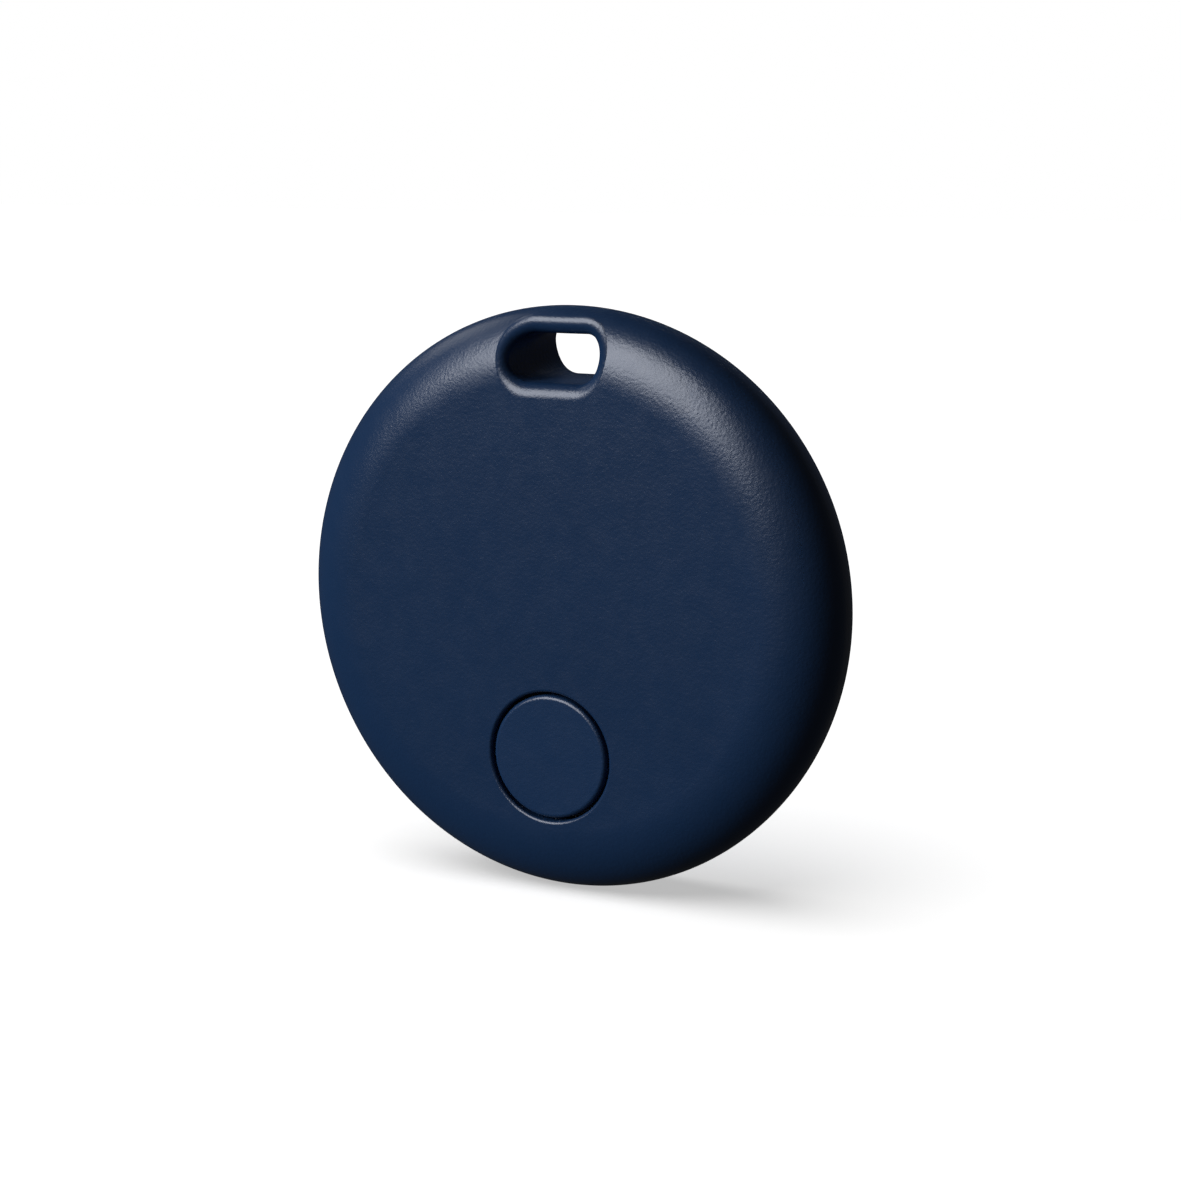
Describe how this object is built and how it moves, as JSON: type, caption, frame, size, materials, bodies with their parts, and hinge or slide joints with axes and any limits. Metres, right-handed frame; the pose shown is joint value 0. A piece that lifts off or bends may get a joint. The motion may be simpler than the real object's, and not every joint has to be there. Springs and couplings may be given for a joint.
{
  "type": "bluetooth tracker tag",
  "caption": "Round pocket tag with a strap slot near the rim, a flush push button in its face and a clip-on rear cover over a coin cell.",
  "frame": {"origin": "centre of the round body, on the disc's axis and midway through its thickness", "axes": "Y is the disc's axis with the button face toward -Y and the rear cover toward +Y; +Z points to the strap slot, and the button is on the -Z side"},
  "size_m": [0.038, 0.008, 0.038],
  "materials": {
    "shell_plastic": "satin, very fine moulded grain",
    "cover_plastic": "satin, very fine moulded grain",
    "button_plastic": "satin, very fine moulded grain",
    "switch_resin": "matt black resin",
    "steel_sheet": "bright rolled sheet",
    "plunger_plastic": "natural nylon",
    "tinned_copper": "tinned",
    "board_laminate": "green solder mask",
    "chip_resin": "matt moulded resin",
    "crystal_can": "satin",
    "sensor_resin": "matt moulded resin",
    "antenna_ceramic": "matt",
    "ferrite": "matt dark grey",
    "capacitor_ceramic": "tan with tinned ends",
    "resistor_ceramic": "black with tinned ends",
    "adhesive_foam": "black foam tape",
    "buzzer_brass": "satin",
    "piezo_ceramic": "silvered",
    "spring_bronze": "gold plated",
    "cradle_plastic": "natural white",
    "screw_steel": "nickel plated",
    "contact_nickel": "nickel plated",
    "cell_steel": "satin stainless",
    "cap_steel": "satin stainless",
    "gasket_nylon": "translucent nylon",
    "cell_filling": "pressed powder"
  },
  "bodies": {
    "housing": {"front_shell": "shell_plastic", "switch_base": "switch_resin", "switch_frame": "steel_sheet", "switch_dome": "steel_sheet", "switch_terminals": "tinned_copper", "main_board": "board_laminate", "radio_chip": "chip_resin", "main_crystal": "crystal_can", "sleep_crystal": "crystal_can", "motion_sensor": "sensor_resin", "antenna_chip": "antenna_ceramic", "inductors": "ferrite", "capacitors": "capacitor_ceramic", "resistors": "resistor_ceramic", "buzzer_adhesive": "adhesive_foam", "buzzer_plate": "buzzer_brass", "buzzer_ceramic": "piezo_ceramic", "buzzer_springs": "spring_bronze", "battery_cradle": "cradle_plastic", "board_screws": "screw_steel", "negative_contact": "contact_nickel", "positive_contact": "contact_nickel"},
    "cover": {"rear_cover": "cover_plastic"},
    "button": {"button_cap": "button_plastic"},
    "plunger": {"switch_plunger": "plunger_plastic"},
    "cell": {"cell_can": "cell_steel", "cell_cap": "cap_steel", "cell_gasket": "gasket_nylon", "cell_core": "cell_filling"}
  },
  "joints": [
    {"name": "button_press", "type": "slide", "parent": "housing", "child": "button", "axis": [0, 1, 0], "range_m": [0, 0.0002], "stiffness_N_per_m": 4000},
    {"name": "plunger_press", "type": "slide", "parent": "housing", "child": "plunger", "axis": [0, 1, 0], "range_m": [0, 0.0001]},
    {"name": "cover_lift", "type": "slide", "parent": "housing", "child": "cover", "axis": [0, 1, 0], "range_m": [0, 0.02]},
    {"name": "cell_lift", "type": "slide", "parent": "housing", "child": "cell", "axis": [0, 1, 0], "range_m": [0, 0.01]}
  ],
  "couplings": [
    {"joint": "plunger_press", "follows": "button_press", "ratio": 0.5},
    {"joint": "cell_lift", "follows": "cover_lift", "ratio": 0.5}
  ]
}
